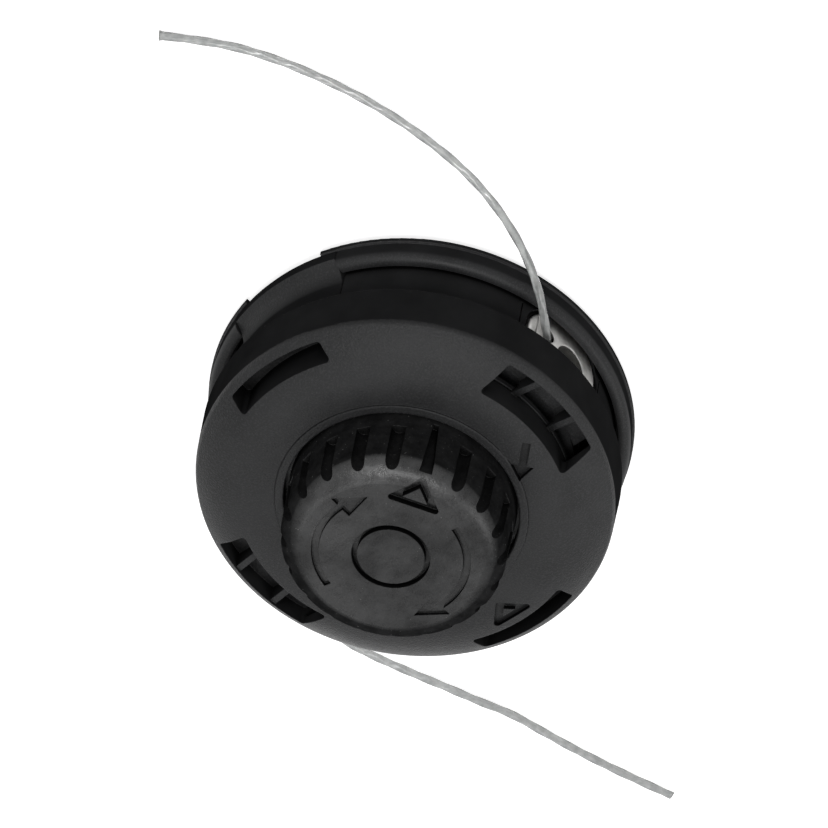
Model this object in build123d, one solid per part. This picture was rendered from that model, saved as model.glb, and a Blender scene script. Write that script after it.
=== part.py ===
from build123d import *
import math
import os

# Two-line bump-feed trimmer head. It stands on the hub of its drive side, with the bump knob up.
# Millimetres. Z is the turning axis, the table is z = 0, and the eyelets lie on the X axis.

# Line
line_diameter = 2.4
line_bore_clearance = 0.3
turns_across = 3
winding_freeboard = 6.5

# Housing
hub_boss_radius = 21.0
hub_boss_height = 3.2
flange_lip = 0.45
flange_thickness = 1.9
plate_thickness = 3.6
rim_overhang = 0.8
rim_height = 6.1
rim_wall = 3.3
rim_round = 2.6
rim_foot_round = 0.3
rim_groove_depth = 3.6
drum_radius = 54.0
drum_wall = 2.6
drum_exposed = 13.8
drum_lap = 5.5
parting_line_offset = 16.0
parting_line_width = 0.35
moulded_round = 0.4
drive_pocket_margin = 4.0
drive_pocket_edge = 5.5
drive_pocket_depth = 1.4
drive_rib_count = 12
drive_rib_width = 1.8

# Hub, post and drive nut
nut_floor = 1.2
nut_length = 14.0
nut_hex_height = 4.0
nut_across_flats = 17.0
nut_bore_radius = 4.35
nut_mouth_radius = 6.5
nut_fit = 0.05
collar_wall = 2.8
post_radius = 8.5
post_bore_radius = 5.2
post_gap = 3.0

# Cover
skirt_wall = 3.2
skirt_height = 14.0
cover_fit = 0.3
skirt_draft = 0.5
crown_edge_round = 2.0
crown_edge_slope = 39.0
crown_rise = 6.7
crown_round = 26.0
crown_wall = 2.6
crown_inner_round = 2.0
lip_width = 2.6
lip_rise = 0.5
lip_round_share = 0.9
lip_depth = 4.0

# Windows of the cover
window_edge = 2.8
ribbed_window_span = 9.4
plain_window_span = 5.3
ribbed_window_width = 34.0
plain_window_width = 31.4
window_corner = 1.0
window_rib_width = 1.9
window_rib_spacing = 14.2
window_rib_rise = 0.5
window_rib_drop = 0.1
window_wall = 1.6
window_wall_gap = 0.9
pocket_floor_gap = 0.7
keeper_thickness = 1.6
keeper_overlap = 0.2
keeper_gap = 0.2

# Latch arms of the cover, and the recesses that they lie in
arm_width = 35.8
arm_gap = 0.3
arm_thickness = 2.2
arm_root_height = 4.0
arm_root_overlap = 1.6
arm_flare_height = 5.0
arm_flex_room = 2.8
recess_wall = 2.0
latch_lug_width = 12.0
latch_lug_height = 2.0
latch_lug_reach = 2.2
latch_ledge_height = 8.0
latch_gap = 0.2
flange_notch_width = 27.0
flange_notch_depth = 4.2
arm_tab_inset = 0.9
arm_tab_rise = 0.8
arm_tab_slope = 1.2

# Eyelets
eyelet_half_width = 13.5
eyelet_offset = -0.6
eyelet_corner = 9.0
eyelet_foot_gap = 0.2
eyelet_top_rise = 2.0
eyelet_inset = 0.2
eyelet_depth = 5.6
eyelet_lip = 1.8
eyelet_fit = 0.3
eyelet_surround = 0.9
eyelet_surround_depth = 1.2
eyelet_round = 0.8
line_exit_offset = 7.1
line_exit_rise = 6.0
line_exit_angle = 55.0
line_flare_radius = 3.4
line_flare_depth = 2.4
eyelet_pocket_offset = -3.0
eyelet_pocket_radius = 5.6
eyelet_pocket_rise = 2.6
eyelet_pocket_depth = 4.2

# Spool and its bump movement
bump_travel = 6.0
dog_gap = 0.3
dog_height = 1.5
dog_length = 7.0
dog_count = 8
dog_side_gap = 1.5
dog_wall_gap = 0.7
stop_lug_height = 1.9
stop_lug_count = 4
spool_side_gap = 1.7
spool_core_radius = 22.0
spool_core_wall = 2.5
spool_flange = 1.7
spool_divider = 1.4
spool_web = 2.2
winding_gap = 0.1
sleeve_wall = 3.0
sleeve_rise = 8.0
sleeve_fit = 0.08
sleeve_stop_gap = 0.5

# Spring and washer
spring_wire = 1.8
spring_mean_radius = 15.4
spring_turns = 6.0
spring_seat_gap = 0.05
washer_thickness = 1.0
washer_fit = 0.4
washer_gap = 0.1

# Knob
knob_radius = 31.1
knob_draft = 0.9
knob_face_rise = 20.8
knob_shoulder = 6.0
knob_wall = 4.4
knob_face_wall = 4.0
knob_running_gap = 0.8
knob_flange_overlap = 2.6
knob_flange_thickness = 2.2
knob_stop_gap = 0.3
knob_index_angle = 30.9
notch_count = 20
notch_width = 3.8
notch_depth = 2.9
notch_floor_rise = 3.5
index_groove_depth = 2.2
index_groove_foot_width = 1.4
index_groove_top_width = 3.8
key_count = 4
key_width = 6.0
key_depth = 1.1
key_fit = 0.1
key_edge = 0.6

# Engraved marks
cover_mark_depth = 1.4
knob_mark_depth = 2.0
knob_arrow_depth = 1.0
mark_corner = 1.0
mark_stroke = 2.2
knob_triangle_edge = 2.6
knob_triangle_length = 10.1
knob_triangle_half_width = 8.1
knob_arrow_inset = 10.7
knob_arrow_stroke = 2.0
knob_arrow_tail_angle = 141.5
knob_arrow_base_angle = 59.5
knob_arrow_tip_angle = 35.5
knob_arrow_head_half_width = 3.6
knob_ring_radius = 10.6
knob_ring_stroke = 1.5
cover_triangle_inset = 7.6
cover_triangle_length = 7.4
cover_triangle_half_width = 7.6
cover_arrow_inset = 9.9
cover_arrow_place = -4.3
cover_arrow_heading = 221.3
cover_arrow_length = 12.7
cover_arrow_head_length = 5.0
cover_arrow_head_width = 6.2
cover_arrow_stroke = 2.2

# Routes of the two free line ends, from inside the eyelet to the cut end on the table
line_tail_1_points = [
    (49.9, 2.2, 17.2),
    (56.3, 11.4, 17.2),
    (62.3, 22.3, 16.7),
    (65.8, 33.5, 15.0),
    (67.0, 46.0, 12.2),
    (65.6, 58.5, 9.0),
    (61.5, 71.5, 5.4),
    (56.3, 84.5, 2.6),
    (50.3, 97.5, 1.4),
    (43.8, 110.3, 1.25),
    (34.8, 123.3, 1.25),
    (23.6, 133.9, 1.25),
]
line_tail_2_points = [
    (-49.9, -2.2, 17.2),
    (-56.3, -11.4, 17.2),
    (-61.8, -22.4, 16.6),
    (-64.9, -34.0, 14.6),
    (-65.2, -46.0, 11.4),
    (-63.4, -57.5, 8.2),
    (-60.7, -68.8, 5.4),
    (-57.6, -79.2, 3.2),
    (-54.8, -88.0, 1.9),
    (-50.4, -97.3, 1.25),
    (-47.3, -107.8, 1.25),
    (-43.3, -120.0, 1.25),
    (-38.0, -133.8, 1.25),
    (-32.2, -147.0, 1.25),
]
arc_share = 0.45

# Heights worked out from the sizes above
flange_top_z = hub_boss_height + flange_thickness
plate_top_z = hub_boss_height + plate_thickness
rim_top_z = flange_top_z + rim_height
groove_z = rim_top_z - rim_groove_depth
cover_edge_z = rim_top_z + drum_exposed
drum_top_z = cover_edge_z + drum_lap
crown_edge_z = cover_edge_z + skirt_height
crown_top_z = crown_edge_z + crown_rise
lip_z = crown_top_z + lip_rise
nut_top_z = nut_floor + nut_length
collar_top_z = nut_top_z + nut_fit + collar_wall / 2
spool_bottom_z = plate_top_z + stop_lug_height + dog_gap + dog_height + bump_travel
chamber_width = turns_across * line_diameter + 2 * winding_gap
lower_chamber_z = spool_bottom_z + spool_flange
upper_chamber_z = lower_chamber_z + chamber_width + spool_divider
spool_top_z = upper_chamber_z + chamber_width + spool_flange
web_bottom_z = spool_top_z - spool_web
washer_top_z = web_bottom_z - washer_gap
washer_bottom_z = washer_top_z - washer_thickness
knob_face_z = lip_z + knob_face_rise
knob_inner_top_z = knob_face_z - knob_face_wall
post_top_z = knob_inner_top_z - bump_travel - post_gap
eyelet_top_z = drum_top_z + eyelet_top_rise
eyelet_foot_z = groove_z + eyelet_fit + eyelet_foot_gap
keeper_z = eyelet_top_z + keeper_gap
line_exit_z = rim_top_z + line_exit_rise
all_above = knob_face_z + 10.0

# Radii worked out from the sizes above
drum_inner_radius = drum_radius - drum_wall
cover_bore = drum_radius + cover_fit
cover_radius = cover_bore + skirt_wall
crown_radius = cover_radius - skirt_draft
crown_corner_radius = crown_radius - crown_rise / math.tan(math.radians(crown_edge_slope))
crown_flat_radius = crown_corner_radius - crown_round * math.tan(math.radians(crown_edge_slope / 2))
window_outer_radius = cover_radius - window_edge
ribbed_window_inner_radius = window_outer_radius - ribbed_window_span
plain_window_inner_radius = window_outer_radius - plain_window_span
rim_radius = cover_radius + rim_overhang
rim_inner_radius = rim_radius - rim_wall
flange_radius = rim_radius + flange_lip
flange_notch_radius = flange_radius - flange_notch_depth
arm_inner_radius = drum_radius - arm_thickness
recess_radius = arm_inner_radius - arm_flex_room
nut_corner_radius = nut_across_flats / math.sqrt(3)
collar_radius = nut_corner_radius + collar_wall
sleeve_radius = post_radius + sleeve_fit + sleeve_wall
spool_core_inner = spool_core_radius - spool_core_wall
eyelet_face_radius = drum_radius - eyelet_inset
eyelet_inner_radius = eyelet_face_radius - eyelet_depth
spool_radius = min(eyelet_inner_radius, recess_radius - recess_wall) - spool_side_gap
winding_radius = spool_radius - winding_freeboard
opening_radius = knob_radius + knob_running_gap
knob_flange_radius = opening_radius + knob_flange_overlap
dog_inner_radius = knob_flange_radius + dog_side_gap
dog_outer_radius = ribbed_window_inner_radius - window_wall - dog_wall_gap
knob_arrow_radius = knob_radius - knob_arrow_inset


def crown_z(radius):
    """Height of the cover's domed crown outside its flat middle."""
    return crown_top_z - crown_round + math.sqrt(crown_round**2 - (radius - crown_flat_radius) ** 2)


def crown_under_z(radius):
    """Height of the crown's underside, which is thickest at the lip of the opening."""
    lip_under = lip_z - lip_depth
    bore_under = crown_z(cover_bore) - crown_wall
    share = (radius - opening_radius) / (cover_bore - opening_radius)
    return lip_under + share * (bore_under - lip_under)


def turned(points, radii):
    """Solid of revolution from a closed outline of (radius, height) points and a round for each."""
    outline = FilletPolyline(*[(r, 0, z) for r, z in points], radius=radii, close=True)
    return revolve(make_face(outline.edges()), Axis.Z)


def ring(outer, inner, bottom, top):
    return Pos(0, 0, bottom) * extrude(Circle(outer) - Circle(inner), top - bottom)


def block(x_range, y_range, z_range):
    low, high = zip(x_range, y_range, z_range)
    size = [b - a for a, b in zip(low, high)]
    middle = [(a + b) / 2 for a, b in zip(low, high)]
    return Pos(*middle) * Box(*size)


def slab(low, high):
    """Tall slab on the X side of the axis, between two Y values."""
    return block((0, flange_radius), (low, high), (0, all_above))


def both_sides(solid, first_angle=0.0):
    """The solid and its copy on the other side of the axis, turned from X by first_angle."""
    return Rot(0, 0, first_angle) * solid + Rot(0, 0, first_angle + 180) * solid


def engraved(solid, envelope, sketch, depth):
    """Cuts a flat mark into a curved top, at one depth below the surface of the envelope."""
    prism = extrude(Pos(0, 0, cover_edge_z) * sketch, all_above - cover_edge_z)
    return solid - (prism - Pos(0, 0, -depth) * envelope)


def triangle_outline(apex, base, half_width):
    """Triangle band on the X axis, from its apex radius to its base radius."""
    outer = make_face(Polyline((apex, 0), (base, half_width), (base, -half_width), close=True))
    return fillet(outer.vertices(), mark_corner) - offset(outer, -mark_stroke)


def ramp_tooth(foot_z, tip_z):
    """Ratchet tooth on the X axis, steep on one side. Its foot goes half its height into the carrier."""
    sunk_z = foot_z - (tip_z - foot_z) / 2
    half = dog_length / 2
    points = [(-half, sunk_z), (half, sunk_z), (half, tip_z), (half / 2, tip_z), (-half, foot_z)]
    side = make_face(Polyline(*points, close=True))
    return extrude(Plane.YZ.offset(dog_inner_radius) * side, dog_outer_radius - dog_inner_radius)


def eyelet_prism(grow, top_z, inner_radius, outer_radius):
    """The eyelet's outline grown all round, between two radii and above the groove of the rim."""
    near = eyelet_offset + eyelet_half_width + grow
    far = eyelet_offset - eyelet_half_width - grow
    foot = eyelet_foot_z - grow
    corner = eyelet_corner + grow
    points = [(near, top_z), (near, foot), (far, foot), (far, top_z)]
    outline = FilletPolyline(*points, radius=[0, corner, corner, 0], close=True)
    prism = extrude(Plane.YZ * make_face(outline.edges()), flange_radius)
    return prism & ring(outer_radius, inner_radius, groove_z, all_above)


def nut_solid(room):
    """Round nut with a hexagon at its inner end, or its seat in the hub when room is added."""
    hex_bottom = nut_length - nut_hex_height - room
    solid = extrude(Circle(nut_across_flats / 2 + room), nut_length)
    hexagon = RegularPolygon(nut_corner_radius + room, 6)
    solid += Pos(0, 0, hex_bottom) * extrude(hexagon, nut_hex_height + 2 * room)
    return Pos(0, 0, nut_floor) * solid


def make_upper_housing():
    outline = [
        (nut_mouth_radius, 0),
        (hub_boss_radius, 0),
        (hub_boss_radius, hub_boss_height),
        (flange_radius, hub_boss_height),
        (flange_radius, flange_top_z),
        (rim_radius, flange_top_z),
        (rim_radius, rim_top_z),
        (rim_inner_radius, rim_top_z),
        (rim_inner_radius, groove_z),
        (drum_radius, groove_z),
        (drum_radius, drum_top_z),
        (drum_inner_radius, drum_top_z),
        (drum_inner_radius, plate_top_z),
        (collar_radius, plate_top_z),
        (collar_radius, collar_top_z),
        (post_radius, collar_top_z),
        (post_radius, post_top_z),
        (post_bore_radius, post_top_z),
        (post_bore_radius, nut_floor),
        (nut_mouth_radius, nut_floor),
    ]
    rounds = {2: 2 * moulded_round, 3: moulded_round, 4: moulded_round, 5: rim_foot_round, 6: rim_round}
    radii = [rounds.get(i, 0) for i in range(len(outline))]
    housing = turned(outline, radii)

    housing -= nut_solid(nut_fit)

    # The drive side is cored out round the hub, between radial ribs.
    pocket_top = hub_boss_height + drive_pocket_depth
    drive_pocket = ring(drum_radius - drive_pocket_edge, hub_boss_radius + drive_pocket_margin, 0, pocket_top)
    rib_half = drive_rib_width / 2
    for i in range(drive_rib_count):
        rib = block((0, flange_radius), (-rib_half, rib_half), (0, pocket_top))
        drive_pocket -= Rot(0, 0, i * 360 / drive_rib_count) * rib
    housing -= drive_pocket

    # Each latch arm of the cover lies in a recess, and its lug snaps under a ledge there.
    arm_room = arm_width / 2 + arm_gap
    end_wall = arm_room + drum_wall
    recess_top_z = cover_edge_z + arm_root_height + arm_gap
    recess_bottom_z = plate_top_z - moulded_round
    recess_back = ring(drum_inner_radius, recess_radius - recess_wall, recess_bottom_z, recess_top_z)
    housing += both_sides(recess_back & slab(-end_wall, end_wall), 90)
    outside = ring(2 * flange_radius, recess_radius, flange_top_z, all_above)
    housing -= both_sides(outside & slab(-arm_room, arm_room), 90)
    ledge = ring(recess_radius + latch_lug_reach, recess_radius - recess_wall / 2, 0, all_above)
    ledge_bottom = rim_top_z + latch_ledge_height - latch_lug_height - latch_gap
    ledge_half = latch_lug_width / 2
    ledge_top = ledge_bottom + latch_lug_height
    ledge &= block((0, flange_radius), (-ledge_half, ledge_half), (ledge_bottom, ledge_top))
    housing += both_sides(ledge, 90)

    # Notches of the flange that the tabs of the latch arms lie in.
    notch_half = flange_notch_width / 2
    notch = ring(2 * flange_radius, flange_notch_radius, 0, flange_top_z)
    housing -= both_sides(notch & slab(-notch_half, notch_half), 90)

    # Seats of the eyelets, and the mould's parting lines beside them.
    housing -= both_sides(eyelet_prism(eyelet_fit, all_above, recess_radius, rim_inner_radius))
    surround_grow = eyelet_fit + eyelet_surround
    surround_radius = drum_radius - eyelet_surround_depth
    housing -= both_sides(eyelet_prism(surround_grow, all_above, surround_radius, rim_inner_radius))
    parting = ring(2 * drum_radius, drum_radius - parting_line_width, groove_z, drum_top_z)
    for side in (-1, 1):
        near = side * parting_line_offset - parting_line_width / 2
        strip = block((0, flange_radius), (near, near + parting_line_width), (rim_top_z, all_above))
        housing -= both_sides(parting & strip)

    # Lugs that stop the spool's lower teeth when the knob is pressed.
    tooth = ramp_tooth(plate_top_z, plate_top_z + stop_lug_height)
    for i in range(stop_lug_count):
        housing += Rot(0, 0, (i + 0.5) * 360 / stop_lug_count) * tooth
    return housing


def make_drive_nut():
    return nut_solid(0) - extrude(Circle(nut_bore_radius), all_above)


def cover_envelope():
    outline = [
        (0, cover_edge_z),
        (cover_radius, cover_edge_z),
        (crown_radius, crown_edge_z),
        (crown_corner_radius, crown_top_z),
        (0, crown_top_z),
    ]
    return turned(outline, [0, 0, crown_edge_round, crown_round, 0])


def make_latch_arm():
    tip_z = flange_top_z + arm_gap
    root_radius = cover_bore + arm_root_overlap
    root_z = cover_edge_z + arm_root_height
    grip_z = rim_top_z - rim_round
    flare_z = rim_top_z + arm_flare_height
    lower = Polyline((arm_inner_radius, 0, tip_z), (rim_radius, 0, tip_z), (rim_radius, 0, grip_z))
    flare = TangentArc((drum_radius, 0, flare_z), (rim_radius, 0, grip_z), tangent=(0, 0, -1))
    upper = Polyline(
        (drum_radius, 0, flare_z),
        (drum_radius, 0, cover_edge_z),
        (root_radius, 0, cover_edge_z),
        (root_radius, 0, root_z),
        (arm_inner_radius, 0, root_z),
        (arm_inner_radius, 0, tip_z),
    )
    section = make_face(lower.edges() + flare.edges() + upper.edges())
    half = arm_width / 2
    arm = revolve(section, Axis.Z) & slab(-half, half)
    lug_top = rim_top_z + latch_ledge_height - latch_lug_height - 2 * latch_gap
    lug = ring(arm_inner_radius + arm_thickness / 2, arm_inner_radius - latch_lug_reach, 0, all_above)
    lug_half = latch_lug_width / 2
    arm += lug & block((0, flange_radius), (-lug_half, lug_half), (lug_top - latch_lug_height, lug_top))

    # The tab at the tip lies in the notch of the flange.
    tab_inner = flange_notch_radius + arm_gap
    tab_outer = flange_radius - arm_tab_inset
    tab_outline = [
        (tab_inner, hub_boss_height + arm_tab_rise),
        (tab_outer, hub_boss_height + arm_tab_rise),
        (tab_outer, tip_z),
        (rim_radius, tip_z + arm_tab_slope),
        (tab_inner, tip_z + arm_tab_slope),
    ]
    tab_half = flange_notch_width / 2 - arm_gap
    tab = turned(tab_outline, [0, moulded_round, 0, 0, 0])
    return arm + (tab & slab(-tab_half, tab_half))


def window(inner_radius, width, grow, bottom_z):
    """Curved window of the crown, or the block round it when it is grown, from bottom_z up."""
    sketch = Circle(window_outer_radius + grow) - Circle(inner_radius - grow)
    sketch &= Pos(window_outer_radius, 0) * Rectangle(window_outer_radius, width + 2 * grow)
    sketch = fillet(sketch.vertices(), window_corner)
    return extrude(Pos(0, 0, bottom_z) * sketch, all_above - bottom_z)


def straight_arrow():
    back = cover_arrow_length - cover_arrow_head_length
    half = cover_arrow_stroke / 2
    barb = cover_arrow_head_width / 2
    upper = [(0, half), (back, half), (back, barb)]
    lower = [(back, -barb), (back, -half), (0, -half)]
    outline = Polyline(*upper, (cover_arrow_length, 0), *lower, close=True)
    arrow = Rot(0, 0, cover_arrow_heading - cover_arrow_place) * make_face(outline)
    return Rot(0, 0, cover_arrow_place) * Pos(opening_radius + cover_arrow_inset, 0) * arrow


def make_lower_cover():
    envelope = cover_envelope()
    lip_radius = opening_radius + lip_width
    outline = [
        (cover_bore, cover_edge_z),
        (cover_radius, cover_edge_z),
        (crown_radius, crown_edge_z),
        (crown_corner_radius, crown_top_z),
        (lip_radius, crown_top_z),
        (lip_radius, lip_z),
        (opening_radius, lip_z),
        (opening_radius, crown_under_z(opening_radius)),
        (cover_bore, crown_under_z(cover_bore)),
    ]
    edge = moulded_round
    lip_edge = lip_rise * lip_round_share
    radii = [edge, edge, crown_edge_round, crown_round, 0, lip_edge, edge, edge, crown_inner_round]
    cover = turned(outline, radii)

    # Each narrow window is a closed pocket over a latch arm.
    floor_z = drum_top_z + pocket_floor_gap
    plain = (plain_window_inner_radius, plain_window_width)
    cover += both_sides(window(*plain, window_wall, floor_z) & envelope, 90)
    cover -= both_sides(window(*plain, 0, floor_z + keeper_thickness), 90)

    # Each wide window is a pocket over its eyelet: an inner wall above the spool, a floor that keeps the
    # eyelet in its seat and two ribs that slope up to the outer edge.
    inner_radius = ribbed_window_inner_radius
    cover -= both_sides(window(inner_radius, ribbed_window_width, 0, drum_top_z))
    wall_low_z = spool_top_z + window_wall_gap
    wall_half = ribbed_window_width / 2 + window_wall
    inner_wall = ring(inner_radius, inner_radius - window_wall, wall_low_z, lip_z) & envelope
    cover += both_sides(inner_wall & slab(-wall_half, wall_half))
    keeper_half = ribbed_window_width / 2
    keeper_radius = eyelet_inner_radius - keeper_overlap
    keeper = ring(crown_radius, keeper_radius, keeper_z, keeper_z + keeper_thickness)
    cover += both_sides(keeper & slab(-keeper_half, keeper_half))
    rib_inner = inner_radius - window_wall / 2
    rib_outer = window_outer_radius + window_wall / 2
    rib_outline = [
        (rib_inner, wall_low_z),
        (keeper_radius, wall_low_z),
        (keeper_radius, keeper_z),
        (rib_outer, keeper_z),
        (rib_outer, crown_z(rib_outer) - window_rib_drop),
        (rib_inner, wall_low_z + window_rib_rise),
    ]
    slope = turned(rib_outline, [0] * len(rib_outline))
    for side in (-1, 1):
        near = side * window_rib_spacing / 2 - window_rib_width / 2
        cover += both_sides(slope & slab(near, near + window_rib_width))

    # Teeth that hold the spool, hanging from the crown.
    lug_tip_z = spool_top_z + dog_height + dog_gap
    tooth = ramp_tooth(crown_under_z(dog_outer_radius), lug_tip_z)
    for i in range(stop_lug_count):
        cover += Rot(0, 0, (i + 0.5) * 360 / stop_lug_count) * (tooth & envelope)

    cover += both_sides(make_latch_arm(), 90)
    apex = opening_radius + cover_triangle_inset
    mark = triangle_outline(apex, apex + cover_triangle_length, cover_triangle_half_width)
    cover = engraved(cover, envelope, Rot(0, 0, 270) * mark, cover_mark_depth)
    return engraved(cover, envelope, straight_arrow(), cover_mark_depth)


def make_line_eyelet():
    body = eyelet_prism(0, eyelet_top_z, eyelet_inner_radius, eyelet_face_radius)
    front = body.faces().filter_by(GeomType.CYLINDER).sort_by_distance((flange_radius, 0, line_exit_z))[0]
    body = fillet(front.edges(), eyelet_round)
    body += eyelet_prism(eyelet_lip, eyelet_top_z, eyelet_inner_radius, drum_inner_radius - eyelet_fit)
    pocket = Plane.YZ.offset(eyelet_face_radius - eyelet_pocket_depth)
    pocket_place = Pos(eyelet_pocket_offset, line_exit_z + eyelet_pocket_rise)
    body -= extrude(pocket * pocket_place * Circle(eyelet_pocket_radius), flange_radius - eyelet_face_radius)
    mouth_x = math.sqrt(eyelet_face_radius**2 - line_exit_offset**2)
    heading = (math.cos(math.radians(line_exit_angle)), math.sin(math.radians(line_exit_angle)), 0)
    bore = Plane(origin=(mouth_x, line_exit_offset, line_exit_z), z_dir=heading)
    bore_radius = line_diameter / 2 + line_bore_clearance
    body -= bore * Cylinder(bore_radius, 4 * eyelet_depth)
    flare_slope = (line_flare_radius - bore_radius) / line_flare_depth
    outer_flare = line_flare_radius + flare_slope * line_flare_depth
    flare = Cone(bore_radius, outer_flare, 2 * line_flare_depth)
    return body - bore * flare


def make_spool():
    outline = [
        (spool_core_inner, spool_bottom_z),
        (spool_radius, spool_bottom_z),
        (spool_radius, lower_chamber_z),
        (spool_core_radius, lower_chamber_z),
        (spool_core_radius, lower_chamber_z + chamber_width),
        (spool_radius, lower_chamber_z + chamber_width),
        (spool_radius, upper_chamber_z),
        (spool_core_radius, upper_chamber_z),
        (spool_core_radius, upper_chamber_z + chamber_width),
        (spool_radius, upper_chamber_z + chamber_width),
        (spool_radius, spool_top_z),
        (sleeve_radius, spool_top_z),
        (sleeve_radius, spool_top_z + sleeve_rise),
        (post_radius + sleeve_fit, spool_top_z + sleeve_rise),
        (post_radius + sleeve_fit, collar_top_z + bump_travel + sleeve_stop_gap),
        (sleeve_radius, collar_top_z + bump_travel + sleeve_stop_gap),
        (sleeve_radius, web_bottom_z),
        (spool_core_inner, web_bottom_z),
    ]
    spool = turned(outline, [0] * len(outline))
    upper_tooth = ramp_tooth(spool_top_z, spool_top_z + dog_height)
    lower_tooth = ramp_tooth(spool_bottom_z, spool_bottom_z - dog_height)
    for i in range(dog_count):
        spool += Rot(0, 0, i * 360 / dog_count) * (upper_tooth + lower_tooth)
    for i in range(key_count):
        spool -= Rot(0, 0, knob_index_angle + i * 360 / key_count) * knob_key(key_fit)
    return spool


def make_winding(chamber_z):
    """Wound line in one chamber, with the round backs of its outer turns."""
    bottom = chamber_z + winding_gap
    core = spool_core_radius + winding_gap
    backs_radius = winding_radius - line_diameter / 2
    winding = ring(backs_radius, core, bottom, bottom + turns_across * line_diameter)
    turn = revolve(Plane.XZ * Pos(backs_radius, bottom) * Circle(line_diameter / 2), Axis.Z)
    for i in range(turns_across):
        winding += Pos(0, 0, (i + 0.5) * line_diameter) * turn
    return winding


def make_return_spring():
    low = plate_top_z + spring_wire / 2 + spring_seat_gap
    high = washer_bottom_z - spring_wire / 2 - spring_seat_gap
    path = Pos(0, 0, low) * Helix((high - low) / spring_turns, high - low, spring_mean_radius)
    wire = Plane(origin=path @ 0, z_dir=path % 0) * Circle(spring_wire / 2)
    return sweep(wire, path=path, is_frenet=True)


def make_thrust_washer():
    return ring(spool_core_inner - washer_fit, sleeve_radius + washer_fit, washer_bottom_z, washer_top_z)


def knob_key(room):
    """Key under the knob's wall on the X axis, or its slot in the spool when room is added."""
    inner = knob_radius - knob_wall + key_edge - room
    outer = knob_radius - key_edge + room
    half = key_width / 2 + room
    return block((inner, outer), (-half, half), (spool_top_z - key_depth - room, spool_top_z + room))


def knob_envelope():
    face_radius = knob_radius - knob_draft
    outline = [(0, spool_top_z), (knob_radius, spool_top_z), (face_radius, knob_face_z), (0, knob_face_z)]
    return turned(outline, [0, 0, knob_shoulder, 0])


def turning_arrow():
    """Curved arrow for the direction in which the knob is turned."""
    base = math.radians(knob_arrow_base_angle)
    tip = math.radians(knob_arrow_tip_angle)
    half = knob_arrow_stroke / 2
    band = Circle(knob_arrow_radius + half) - Circle(knob_arrow_radius - half)
    reach = 2 * knob_arrow_radius
    middle_angle = (knob_arrow_base_angle + knob_arrow_tail_angle) / 2
    spread = [knob_arrow_base_angle, middle_angle, knob_arrow_tail_angle]
    fan = [(reach * math.cos(math.radians(a)), reach * math.sin(math.radians(a))) for a in spread]
    band &= make_face(Polyline((0, 0), *fan, close=True))
    inner = knob_arrow_radius - knob_arrow_head_half_width
    outer = knob_arrow_radius + knob_arrow_head_half_width
    head = make_face(
        Polyline(
            (inner * math.cos(base), inner * math.sin(base)),
            (outer * math.cos(base), outer * math.sin(base)),
            (knob_arrow_radius * math.cos(tip), knob_arrow_radius * math.sin(tip)),
            close=True,
        )
    )
    return band + head


def make_bump_knob():
    envelope = knob_envelope()
    cavity_radius = knob_radius - knob_wall
    cavity_outline = [(0, 0), (cavity_radius, 0), (cavity_radius, knob_inner_top_z), (0, knob_inner_top_z)]
    flange_top = crown_under_z(knob_flange_radius) - knob_stop_gap
    knob = envelope - turned(cavity_outline, [0, 0, knob_shoulder - knob_face_wall, 0])
    knob += ring(knob_flange_radius, cavity_radius, flange_top - knob_flange_thickness, flange_top)

    # Grip notches all round, with a tapered groove in line with the triangle in place of one of them.
    floor_z = lip_z + notch_floor_rise
    reach = 2 * knob_wall
    end_radius = notch_width / 2
    end_place = knob_radius - notch_depth + end_radius
    notch_sketch = Pos(end_place, 0) * Circle(end_radius)
    notch_sketch += Pos(end_place + reach / 2, 0) * Rectangle(reach, notch_width)
    notch = extrude(Pos(0, 0, floor_z) * notch_sketch, all_above - floor_z)
    for i in range(1, notch_count):
        knob -= Rot(0, 0, i * 360 / notch_count) * notch
    foot = index_groove_foot_width / 2
    head = index_groove_top_width / 2
    wedge = Polyline((-foot, lip_z), (foot, lip_z), (head, knob_face_z), (-head, knob_face_z), close=True)
    knob -= extrude(Plane.YZ.offset(knob_radius - index_groove_depth) * make_face(wedge), reach)

    apex = knob_radius - knob_triangle_edge
    mark = triangle_outline(apex, apex - knob_triangle_length, knob_triangle_half_width)
    knob = engraved(knob, envelope, mark, knob_mark_depth)
    arrow = turning_arrow()
    knob = engraved(knob, envelope, arrow, knob_arrow_depth)
    knob = engraved(knob, envelope, Rot(0, 0, 180) * arrow, knob_arrow_depth)
    groove = Circle(knob_ring_radius) - Circle(knob_ring_radius - knob_ring_stroke)
    knob = engraved(knob, envelope, groove, knob_mark_depth)
    for i in range(key_count):
        knob += Rot(0, 0, i * 360 / key_count) * knob_key(0)
    return Rot(0, 0, knob_index_angle) * knob


def make_line_tail(name, points):
    """Tube along straight runs joined by arcs that are as large as the runs allow."""
    points = [Vector(*p) for p in points]
    radii = []
    for before, corner, after in zip(points, points[1:], points[2:]):
        turn = (corner - before).get_angle(after - corner)
        shorter = min((corner - before).length, (after - corner).length)
        radii.append(arc_share * shorter / math.tan(math.radians(turn / 2)))
    path = FilletPolyline(*points, radius=radii)
    tube = sweep(Plane(origin=path @ 0, z_dir=path % 0) * Circle(line_diameter / 2), path=path)
    section = math.pi * line_diameter**2 / 4
    print(name, "radii", [round(r, 1) for r in radii])
    share = tube.volume / (section * path.length)
    print(name, "length", round(path.length, 2), "volume share", round(share, 4))
    return tube


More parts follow.
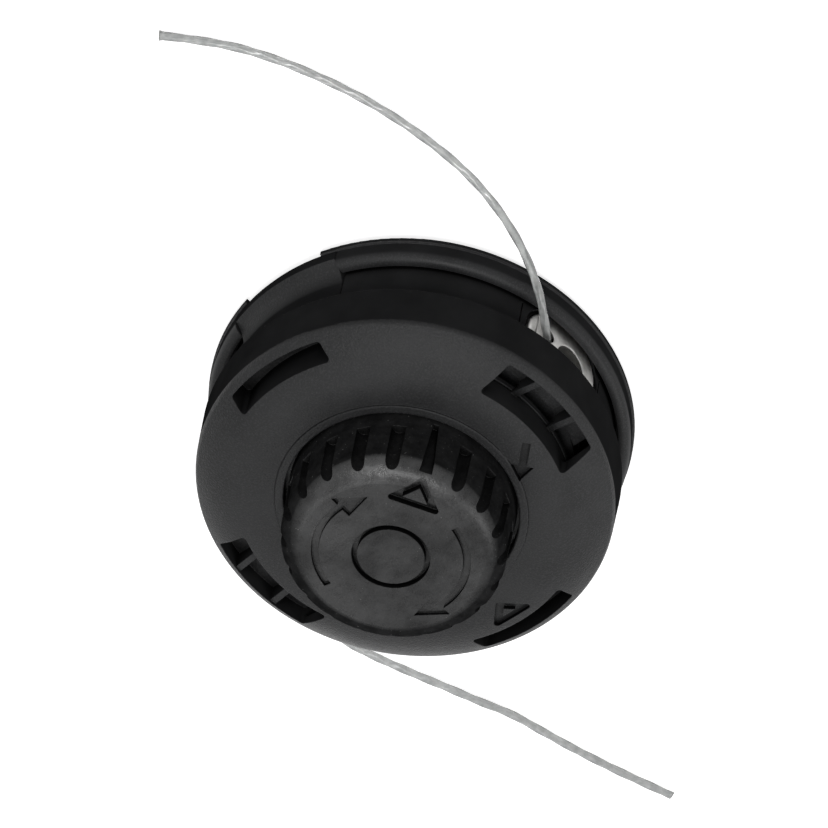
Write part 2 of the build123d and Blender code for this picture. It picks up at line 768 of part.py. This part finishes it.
nodes = {
    "upper_housing": make_upper_housing(),
    "drive_nut": make_drive_nut(),
    "lower_cover": make_lower_cover(),
    "line_eyelet_1": make_line_eyelet(),
    "line_eyelet_2": Rot(0, 0, 180) * make_line_eyelet(),
    "spool": make_spool(),
    "line_winding_lower": make_winding(lower_chamber_z),
    "line_winding_upper": make_winding(upper_chamber_z),
    "return_spring": make_return_spring(),
    "thrust_washer": make_thrust_washer(),
    "bump_knob": make_bump_knob(),
    "line_tail_1": make_line_tail("line_tail_1", line_tail_1_points),
    "line_tail_2": make_line_tail("line_tail_2", line_tail_2_points),
}

os.makedirs("parts", exist_ok=True)
for node, solid in nodes.items():
    export_step(solid, f"parts/{node}.step")
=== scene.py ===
import bpy
import math
from mathutils import Matrix, Vector


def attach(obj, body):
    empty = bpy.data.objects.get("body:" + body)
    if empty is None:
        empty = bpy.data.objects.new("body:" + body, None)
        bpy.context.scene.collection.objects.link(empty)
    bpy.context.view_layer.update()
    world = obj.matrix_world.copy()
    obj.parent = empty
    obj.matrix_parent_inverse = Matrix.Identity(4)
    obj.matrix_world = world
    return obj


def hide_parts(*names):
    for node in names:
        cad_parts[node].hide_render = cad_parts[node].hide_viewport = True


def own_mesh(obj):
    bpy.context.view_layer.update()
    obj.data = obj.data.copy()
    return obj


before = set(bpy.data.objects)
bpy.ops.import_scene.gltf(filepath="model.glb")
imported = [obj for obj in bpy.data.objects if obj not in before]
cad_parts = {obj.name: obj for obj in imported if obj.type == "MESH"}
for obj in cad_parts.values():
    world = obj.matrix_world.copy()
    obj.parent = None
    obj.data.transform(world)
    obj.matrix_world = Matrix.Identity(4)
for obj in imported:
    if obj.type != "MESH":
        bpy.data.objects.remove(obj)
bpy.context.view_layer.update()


# Drum housing: the black glass-filled nylon drum with its wide flange on the drive side.
# It is moulded in one piece, with a satin skin that is a little smoother than the cover's,
# and the drive nut is moulded into its hub.
MM = 0.001
NYLON_DARK = (0.0250, 0.0252, 0.0260, 1.0)
NYLON_LIGHT = (0.0420, 0.0424, 0.0436, 1.0)
NYLON_IOR = 1.52
HOUSING_ROUGH = (0.36, 0.50)
HOUSING_GLOSS = 0.14
HOUSING_GRAIN = 0.45 * MM
HOUSING_GRAIN_HEIGHT = 0.018 * MM
HOUSING_EDGE = 0.30 * MM
CLOUD_SIZE = 14 * MM
CLOUD_SHEEN = 0.06
NOISE_RANGE = (0.3, 0.7)
WALL_DULL = (0.15, 0.60)
# Painted shade: the dark colour that corners and recesses are darkened towards, how far it reaches, and its
# ramp over the occlusion.
PAINTED_SHADE = (0.004, 0.004, 0.004, 1.0)
PAINTED_SHADE_REACH = 6 * MM
PAINTED_SHADE_RANGE = (0.25, 0.85)


class Finish:
    """A material under construction, with short ways to add and join its nodes."""

    def __init__(self, name):
        self.material = bpy.data.materials.new(name)
        self.material.use_nodes = True
        self.tree = self.material.node_tree
        self.shader = self.tree.nodes["Principled BSDF"]
        coordinates = self.add("ShaderNodeTexCoord")
        self.place = coordinates.outputs["Object"]
        self.facing = coordinates.outputs["Normal"]

    def add(self, kind, **settings):
        node = self.tree.nodes.new(kind)
        for key, value in settings.items():
            setattr(node, key, value)
        return node

    def join(self, source, target):
        self.tree.links.new(source, target)

    def drive(self, socket, source):
        """Joins a node's output to a socket of the shader."""
        self.join(source, self.shader.inputs[socket])

    def fix(self, socket, value):
        """Sets a socket of the shader to one value."""
        self.shader.inputs[socket].default_value = value

    def noise(self, size, detail, rough=0.5, stretch=None):
        """Noise with features of about this size in metres, stretched along the axes if asked."""
        node = self.add("ShaderNodeTexNoise")
        node.inputs["Scale"].default_value = 1.0 / size
        node.inputs["Detail"].default_value = detail
        node.inputs["Roughness"].default_value = rough
        place = self.place
        if stretch:
            mapping = self.add("ShaderNodeMapping")
            mapping.inputs["Scale"].default_value = stretch
            self.join(place, mapping.inputs["Vector"])
            place = mapping.outputs["Vector"]
        self.join(place, node.inputs["Vector"])
        return node.outputs["Fac"]

    def remap(self, value, low, high, to_low=0.0, to_high=1.0):
        node = self.add("ShaderNodeMapRange")
        node.inputs["From Min"].default_value = low
        node.inputs["From Max"].default_value = high
        node.inputs["To Min"].default_value = to_low
        node.inputs["To Max"].default_value = to_high
        self.join(value, node.inputs["Value"])
        return node.outputs["Result"]

    def blend(self, factor, first, second):
        """Mix of two colours, each a colour or another node's output."""
        node = self.add("ShaderNodeMix", data_type="RGBA")
        self.join(factor, node.inputs["Factor"])
        for socket, colour in ((node.inputs[6], first), (node.inputs[7], second)):
            if isinstance(colour, tuple):
                socket.default_value = colour
            else:
                self.join(colour, socket)
        return node.outputs[2]

    def combine(self, operation, *values):
        node = self.add("ShaderNodeMath", operation=operation)
        for socket, value in zip(node.inputs, values):
            self.join(value, socket)
        return node.outputs["Value"]

    def soft_edges(self, radius):
        """Rounds the corners that a mould leaves, for the light only."""
        node = self.add("ShaderNodeBevel", samples=6)
        node.inputs["Radius"].default_value = radius
        return node.outputs["Normal"]

    def relief(self, height, depth, below):
        node = self.add("ShaderNodeBump")
        node.inputs["Distance"].default_value = depth
        self.join(height, node.inputs["Height"])
        self.join(below, node.inputs["Normal"])
        return node.outputs["Normal"]

    def with_painted_shade(self, colour, reach, darkest):
        """The colour with painted shade: darker towards the darkest colour in corners and recesses that are
        narrower than the reach.
        """
        node = self.add("ShaderNodeAmbientOcclusion", samples=8, only_local=True)
        node.inputs["Distance"].default_value = reach
        unshaded_share = self.remap(node.outputs["AO"], *PAINTED_SHADE_RANGE)
        return self.blend(unshaded_share, darkest, colour)

    def wear(self, *names):
        """Gives this finish to CAD nodes by name, or to pieces."""
        for name in names:
            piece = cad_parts[name] if isinstance(name, str) else name
            piece.data.materials.clear()
            piece.data.materials.append(self.material)


def moulded_nylon(name, dark, light, rough, gloss, grain, grain_height, edge):
    """Black moulded nylon: cloudy colour, fine grain with pale specks painted on the upward faces as glints,
    painted shade in corners and recesses, and a sheen that the steep walls lose on the mould.
    """
    finish = Finish(name)
    clouds = finish.noise(CLOUD_SIZE, detail=4.0)
    specks = finish.noise(grain, detail=3.0, rough=0.6)
    slope = finish.add("ShaderNodeSeparateXYZ")
    finish.join(finish.facing, slope.inputs["Vector"])
    lying = finish.remap(finish.combine("ABSOLUTE", slope.outputs["Z"]), *WALL_DULL)
    # Pale specks painted into the colour on the upward faces only, as glints of the grain where the light
    # falls.
    glint_specks = finish.combine("MULTIPLY", finish.remap(specks, 0.50, 0.68, 0.0, 1.1), lying)
    tone_and_glints = finish.combine("ADD", finish.remap(clouds, 0.35, 0.65, 0.0, 0.5), glint_specks)
    # Painted shade darkens the corners, windows, marks and other recesses.
    finish.drive("Base Color", finish.with_painted_shade(finish.blend(tone_and_glints, dark, light), PAINTED_SHADE_REACH, PAINTED_SHADE))
    cloud_sheen = finish.remap(clouds, *NOISE_RANGE, -CLOUD_SHEEN, CLOUD_SHEEN)
    finish.drive("Roughness", finish.combine("ADD", cloud_sheen, finish.remap(specks, *NOISE_RANGE, *rough)))
    grain_shape = finish.combine("MULTIPLY", specks, lying)
    finish.drive("Normal", finish.relief(grain_shape, grain_height, finish.soft_edges(edge)))
    finish.drive("Specular IOR Level", finish.remap(lying, 0.0, 1.0, 0.0, gloss))
    finish.fix("IOR", NYLON_IOR)
    return finish


housing_nylon = moulded_nylon(
    "housing_nylon", NYLON_DARK, NYLON_LIGHT, HOUSING_ROUGH, HOUSING_GLOSS,
    HOUSING_GRAIN, HOUSING_GRAIN_HEIGHT, HOUSING_EDGE,
)
housing_nylon.wear("upper_housing")


# Steel inside the head: the drive nut in the hub, the coil spring above it and the washer under the spool.
# They are plain oiled steel, drawn or turned, with fine marks across the axis.
# The spring is a piece of its own, with its own copy of the mesh.
STEEL_DARK = (0.33, 0.32, 0.30, 1.0)
STEEL_LIGHT = (0.56, 0.55, 0.53, 1.0)
STEEL_ROUGH = (0.24, 0.46)
STEEL_EDGE = 0.2 * MM
TURNING_SIZE = 0.9 * MM
TURNING_STRETCH = (0.15, 0.15, 4.0)
TURNING_DEPTH = 0.01 * MM
OIL_SIZE = 5 * MM

steel = Finish("oiled_steel")
turning_marks = steel.noise(TURNING_SIZE, detail=5.0, stretch=TURNING_STRETCH)
oil_film = steel.noise(OIL_SIZE, detail=3.0)
steel.drive("Base Color", steel.blend(steel.remap(oil_film, 0.35, 0.7), STEEL_LIGHT, STEEL_DARK))
steel.drive("Roughness", steel.remap(turning_marks, *NOISE_RANGE, *STEEL_ROUGH))
steel.drive("Normal", steel.relief(turning_marks, TURNING_DEPTH, steel.soft_edges(STEEL_EDGE)))
steel.fix("Metallic", 1.0)
steel.wear("drive_nut", "return_spring", "thrust_washer")

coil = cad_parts["return_spring"].copy()
coil.name = "coil_spring"
coil.data = coil.data.copy()
bpy.context.scene.collection.objects.link(coil)
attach(coil, "head")
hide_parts("return_spring")
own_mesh(coil)


# Spool and its wound line: black nylon spool, and pale translucent line in its two chambers.
# The knob turns the spool, and the line is wound on it in even layers.
LINE_PALE = (0.60, 0.61, 0.60, 1.0)
LINE_GREY = (0.40, 0.41, 0.41, 1.0)
LINE_ROUGH = (0.07, 0.18)
LINE_CLEAR = 0.50
LINE_IOR = 1.53
MILK_SIZE = 2.2 * MM

housing_nylon.wear("spool")


def nylon_line(name):
    """Clear drawn nylon that has gone a little milky in patches."""
    finish = Finish(name)
    milk = finish.noise(MILK_SIZE, detail=3.0)
    finish.drive("Base Color", finish.blend(finish.remap(milk, 0.35, 0.7), LINE_PALE, LINE_GREY))
    finish.drive("Roughness", finish.remap(milk, *NOISE_RANGE, *LINE_ROUGH))
    finish.fix("Transmission Weight", LINE_CLEAR)
    finish.fix("IOR", LINE_IOR)
    return finish


wound_line = nylon_line("wound_line")
wound_line.wear("line_winding_lower", "line_winding_upper")


# Line eyelets: two small die-castings of bare grey metal that sit in arched seats of the drum wall.
# The skin is as cast, cloudy and a little rough, with painted shade darkening the line hole and the pocket.
CAST_DARK = (0.30, 0.296, 0.285, 1.0)
CAST_LIGHT = (0.50, 0.494, 0.480, 1.0)
CAST_PAINTED_SHADE = (0.03, 0.029, 0.027, 1.0)
CAST_PAINTED_SHADE_REACH = 9 * MM
CAST_ROUGH = (0.30, 0.52)
CAST_SKIN_SIZE = 0.7 * MM
CAST_SKIN_DEPTH = 0.04 * MM
CAST_FLOW_SIZE = 4.5 * MM
CAST_EDGE = 0.5 * MM

cast_metal = Finish("cast_metal")
cast_skin = cast_metal.noise(CAST_SKIN_SIZE, detail=4.0, rough=0.6)
cast_flow = cast_metal.noise(CAST_FLOW_SIZE, detail=3.0)
cast_colour = cast_metal.blend(cast_metal.remap(cast_flow, 0.3, 0.62), CAST_DARK, CAST_LIGHT)
# Painted shade darkens the line hole and the pocket.
cast_metal.drive("Base Color", cast_metal.with_painted_shade(cast_colour, CAST_PAINTED_SHADE_REACH, CAST_PAINTED_SHADE))
cast_metal.drive("Roughness", cast_metal.remap(cast_skin, *NOISE_RANGE, *CAST_ROUGH))
cast_metal.drive("Normal", cast_metal.relief(cast_skin, CAST_SKIN_DEPTH, cast_metal.soft_edges(CAST_EDGE)))
cast_metal.fix("Metallic", 1.0)
cast_metal.wear("line_eyelet_1", "line_eyelet_2")


# Cover: the black nylon cap that snaps over the drum, with its windows and two latch arms.
# Its mould was spark-textured, so the crown has a fine even grain, with pale specks painted on its upward
# faces as glints of that grain, and the walls, which drag on the mould, come out smooth and dull.
COVER_DARK = (0.0200, 0.0202, 0.0208, 1.0)
COVER_LIGHT = (0.0340, 0.0344, 0.0354, 1.0)
COVER_ROUGH = (0.30, 0.46)
COVER_GLOSS = 0.16
COVER_GRAIN = 0.55 * MM
COVER_GRAIN_HEIGHT = 0.20 * MM
COVER_EDGE = 0.45 * MM

cover_nylon = moulded_nylon(
    "cover_nylon", COVER_DARK, COVER_LIGHT, COVER_ROUGH, COVER_GLOSS,
    COVER_GRAIN, COVER_GRAIN_HEIGHT, COVER_EDGE,
)
cover_nylon.wear("lower_cover")


# Bump knob: smoother black nylon that is knocked on the ground to feed line.
# Its face and shoulder are polished by handling, with cloudy smears and a little pale dust.
KNOB_DARK = (0.0120, 0.0121, 0.0124, 1.0)
KNOB_SMEAR = (0.0260, 0.0262, 0.0267, 1.0)
KNOB_DUST = (0.30, 0.30, 0.29, 1.0)
KNOB_ROUGH = (0.22, 0.38)
KNOB_FINE_ROUGH = (-0.03, 0.06)
KNOB_GLOSS = 0.65
KNOB_GLOSS_FADE = (0.05, 0.34)
KNOB_EDGE = 0.35 * MM
SMEAR_SIZE = 4 * MM
SMEAR_DEPTH = 0.35 * MM
FINE_SIZE = 0.5 * MM
FINE_DEPTH = 0.008 * MM
RUBBED_SIZE = 16 * MM
RUBBED_GLOSS = (0.55, 1.15)

knob_nylon = Finish("knob_nylon")
smears = knob_nylon.noise(SMEAR_SIZE, detail=6.0, rough=0.66)
fine = knob_nylon.noise(FINE_SIZE, detail=3.0)
dust_places = knob_nylon.remap(smears, 0.47, 0.62)
dust = knob_nylon.combine("MULTIPLY", dust_places, knob_nylon.remap(fine, 0.69, 0.77))
smeared = knob_nylon.blend(knob_nylon.remap(smears, 0.35, 0.68), KNOB_DARK, KNOB_SMEAR)
dusty = knob_nylon.blend(dust, smeared, KNOB_DUST)
# Painted shade darkens the notches, marks and other recesses of the knob.
knob_nylon.drive("Base Color", knob_nylon.with_painted_shade(dusty, PAINTED_SHADE_REACH, PAINTED_SHADE))
smear_rough = knob_nylon.remap(smears, *NOISE_RANGE, *KNOB_ROUGH)
fine_rough = knob_nylon.remap(fine, *NOISE_RANGE, *KNOB_FINE_ROUGH)
knob_nylon.drive("Roughness", knob_nylon.combine("ADD", smear_rough, fine_rough))
knob_skin = knob_nylon.relief(fine, FINE_DEPTH, knob_nylon.soft_edges(KNOB_EDGE))
knob_nylon.drive("Normal", knob_nylon.relief(smears, SMEAR_DEPTH, knob_skin))
knob_facing = knob_nylon.add("ShaderNodeLayerWeight").outputs["Facing"]
rubbed = knob_nylon.remap(knob_nylon.noise(RUBBED_SIZE, detail=4.0), 0.38, 0.64, *RUBBED_GLOSS)
face_on_gloss = knob_nylon.remap(knob_facing, *KNOB_GLOSS_FADE, KNOB_GLOSS, 0.0)
knob_nylon.drive("Specular IOR Level", knob_nylon.combine("MULTIPLY", rubbed, face_on_gloss))
knob_nylon.fix("IOR", NYLON_IOR)
knob_nylon.wear("bump_knob")


# Free line ends: two lengths of square nylon line, twisted as it was drawn, that stand out of the eyelets.
# They keep the curl of the spool, bend down to the table and end in a cut that the blade has pinched.
LINE_DIAMETER = 2.4 * MM
LINE_TWIST = 36.0 * MM
LINE_SIDES = 24
LINE_FLATS = 0.13
PINCH_LENGTH = 1.6 * MM
PINCH_WIDE = 1.45
PINCH_THIN = 0.62
TAIL_1_ROUTE = [
    (49.9, 2.2, 17.2), (56.3, 11.4, 17.2), (62.3, 22.3, 16.7), (65.8, 33.5, 15.0), (67.0, 46.0, 12.2),
    (65.6, 58.5, 9.0), (61.5, 71.5, 5.4), (56.3, 84.5, 2.6), (50.3, 97.5, 1.4), (43.8, 110.3, 1.25),
    (34.8, 123.3, 1.25), (23.6, 133.9, 1.25),
]
TAIL_2_ROUTE = [
    (-49.9, -2.2, 17.2), (-56.3, -11.4, 17.2), (-61.8, -22.4, 16.6), (-64.9, -34.0, 14.6),
    (-65.2, -46.0, 11.4), (-63.4, -57.5, 8.2), (-60.7, -68.8, 5.4), (-57.6, -79.2, 3.2),
    (-54.8, -88.0, 1.9), (-50.4, -97.3, 1.25), (-47.3, -107.8, 1.25), (-43.3, -120.0, 1.25),
    (-38.0, -133.8, 1.25), (-32.2, -147.0, 1.25),
]


def smooth_route(route):
    """Points along the smooth curve that has the route's points as its control points."""
    curve = bpy.data.curves.new("route", "CURVE")
    curve.dimensions = "3D"
    curve.resolution_u = 24
    spline = curve.splines.new("NURBS")
    spline.points.add(len(route) - 1)
    for point, place in zip(spline.points, route):
        point.co = (*(x * MM for x in place), 1.0)
    spline.order_u = 3
    spline.use_endpoint_u = True
    holder = bpy.data.objects.new("route", curve)
    bpy.context.scene.collection.objects.link(holder)
    bpy.context.view_layer.update()
    mesh = bpy.data.meshes.new_from_object(holder.evaluated_get(bpy.context.evaluated_depsgraph_get()))
    points = [v.co.copy() for v in mesh.vertices]
    bpy.data.objects.remove(holder)
    bpy.data.meshes.remove(mesh)
    bpy.data.curves.remove(curve)
    return points


def twisted_line(name, points):
    """Mesh of twisted square line along the points, with flat ends and a pinched far end."""
    lengths = [0.0]
    for before, after in zip(points, points[1:]):
        lengths.append(lengths[-1] + (after - before).length)
    radius = LINE_DIAMETER / 2
    side = None
    verts = []
    for i, place in enumerate(points):
        along = (points[min(i + 1, len(points) - 1)] - points[max(i - 1, 0)]).normalized()
        side = along.cross(Vector((0, 0, 1))) if side is None else side - along * side.dot(along)
        side.normalize()
        across = along.cross(side)
        pinch = max(0.0, 1.0 - (lengths[-1] - lengths[i]) / PINCH_LENGTH) ** 2
        wide = 1.0 + (PINCH_WIDE - 1.0) * pinch
        thin = 1.0 + (PINCH_THIN - 1.0) * pinch
        twist = 2 * math.pi * lengths[i] / LINE_TWIST
        for k in range(LINE_SIDES):
            angle = 2 * math.pi * k / LINE_SIDES
            reach = radius * (1.0 - LINE_FLATS * math.sin(2 * angle) ** 2)
            sideways = reach * wide * math.cos(angle + twist)
            upwards = reach * thin * math.sin(angle + twist)
            verts.append(place + side * sideways + across * upwards)
    faces = []
    for i in range(len(points) - 1):
        for k in range(LINE_SIDES):
            a = i * LINE_SIDES + k
            b = i * LINE_SIDES + (k + 1) % LINE_SIDES
            faces.append((a, b, b + LINE_SIDES, a + LINE_SIDES))
    faces.append(tuple(reversed(range(LINE_SIDES))))
    faces.append(tuple(range(len(verts) - LINE_SIDES, len(verts))))
    mesh = bpy.data.meshes.new(name)
    mesh.from_pydata([tuple(v) for v in verts], [], faces)
    mesh.polygons.foreach_set("use_smooth", [True] * (len(faces) - 2) + [False] * 2)
    mesh.update()
    piece = bpy.data.objects.new(name, mesh)
    bpy.context.scene.collection.objects.link(piece)
    return piece, lengths[-1]


tail_line = nylon_line("tail_line")
for name, route in (("line_tail_1", TAIL_1_ROUTE), ("line_tail_2", TAIL_2_ROUTE)):
    points = smooth_route(route)
    piece, length = twisted_line("twisted_" + name, points)
    tail_line.wear(piece)
    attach(piece, "head")
    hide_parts(name)


# Studio: a plain pale floor and sky that the camera sees as white paper, and four soft lights.
# The camera looks down on the knob from the side of the first eyelet, turned over as the picture is.
WHITE = (1.0, 1.0, 1.0, 1.0)
FLOOR_SIZE = 6.0
FLOOR_COLOUR = (0.80, 0.80, 0.80, 1.0)
FLOOR_BOUNCE = (0.22, 0.22, 0.22, 1.0)
FLOOR_ROUGH = 0.9
FLOOR_GLOW = 0.75
SKY_LEVEL = 0.24
HEAD_CENTRE = Vector((0.0, 0.0, 0.035))
LIGHT_DISTANCE = 1.3
CAMERA_AIM = Vector((6.44, 7.75, 17.2)) * MM
CAMERA_DISTANCE = 1.6261
CAMERA_AZIMUTH = 39.4
CAMERA_ELEVATION = 52.15
CAMERA_ROLL = math.radians(192.09)
CAMERA_LENS = 260.87
CAMERA_SENSOR = 36.0
CAMERA_REACH = 20.0

half = FLOOR_SIZE / 2
corners = [(-half, -half, 0), (half, -half, 0), (half, half, 0), (-half, half, 0)]
floor_mesh = bpy.data.meshes.new("floor")
floor_mesh.from_pydata(corners, [], [(0, 1, 2, 3)])
floor = bpy.data.objects.new("floor", floor_mesh)
bpy.context.scene.collection.objects.link(floor)
paper = Finish("floor_paper")
rays = paper.add("ShaderNodeLightPath")
seen = paper.combine("MAXIMUM", rays.outputs["Is Camera Ray"], rays.outputs["Is Transmission Ray"])
seen = paper.combine("MAXIMUM", seen, rays.outputs["Is Glossy Ray"])
paper.drive("Base Color", paper.blend(seen, FLOOR_BOUNCE, FLOOR_COLOUR))
paper.drive("Emission Strength", paper.remap(seen, 0.0, 1.0, 0.0, FLOOR_GLOW))
paper.fix("Emission Color", WHITE)
paper.fix("Roughness", FLOOR_ROUGH)
paper.wear(floor)

world = bpy.data.worlds.new("studio")
bpy.context.scene.world = world
world.use_nodes = True
sky_nodes, sky_links = world.node_tree.nodes, world.node_tree.links
sky = sky_nodes["Background"]
sky.inputs["Color"].default_value = WHITE
sky_rays = sky_nodes.new("ShaderNodeLightPath")
sky_seen = sky_rays.outputs["Is Camera Ray"]
for ray in ("Is Transmission Ray", "Is Glossy Ray"):
    either = sky_nodes.new("ShaderNodeMath")
    either.operation = "MAXIMUM"
    sky_links.new(sky_seen, either.inputs[0])
    sky_links.new(sky_rays.outputs[ray], either.inputs[1])
    sky_seen = either.outputs["Value"]
sky_level = sky_nodes.new("ShaderNodeMapRange")
sky_level.inputs["To Min"].default_value = SKY_LEVEL
sky_links.new(sky_seen, sky_level.inputs["Value"])
sky_links.new(sky_level.outputs["Result"], sky.inputs["Strength"])


def direction(azimuth, elevation):
    """Unit vector towards this direction, in degrees."""
    turn, rise = math.radians(azimuth), math.radians(elevation)
    return Vector((math.cos(rise) * math.cos(turn), math.cos(rise) * math.sin(turn), math.sin(rise)))


def soft_light(name, azimuth, elevation, size, watts):
    """Square soft light that faces the head from this direction, in degrees."""
    reach = direction(azimuth, elevation)
    light = bpy.data.lights.new(name, "AREA")
    light.size = size
    light.energy = watts
    lamp = bpy.data.objects.new(name, light)
    lamp.location = HEAD_CENTRE + reach * LIGHT_DISTANCE
    lamp.rotation_euler = (-reach).to_track_quat("-Z", "Y").to_euler()
    bpy.context.scene.collection.objects.link(lamp)


soft_light("near_box", 36, 66, size=0.36, watts=6.0)
soft_light("left_box", 75, 42, size=0.32, watts=1.8)
soft_light("right_box", -60, 40, size=0.5, watts=3.2)
soft_light("back_box", 208, 60, size=0.5, watts=2.2)

towards = direction(CAMERA_AZIMUTH, CAMERA_ELEVATION)
level_right = (-towards).cross(Vector((0, 0, 1))).normalized()
level_up = level_right.cross(-towards)
right = level_right * math.cos(CAMERA_ROLL) + level_up * math.sin(CAMERA_ROLL)
up = level_up * math.cos(CAMERA_ROLL) - level_right * math.sin(CAMERA_ROLL)
axes = (right, up, towards, CAMERA_AIM + towards * CAMERA_DISTANCE)
camera_data = bpy.data.cameras.new("camera")
camera_data.lens = CAMERA_LENS
camera_data.sensor_width = CAMERA_SENSOR
camera_data.clip_end = CAMERA_REACH
camera = bpy.data.objects.new("camera", camera_data)
camera.matrix_world = Matrix([[axis[row] for axis in axes] for row in range(3)] + [[0, 0, 0, 1]])
bpy.context.scene.collection.objects.link(camera)
bpy.context.scene.camera = camera
bpy.context.scene.view_settings.view_transform = "Standard"
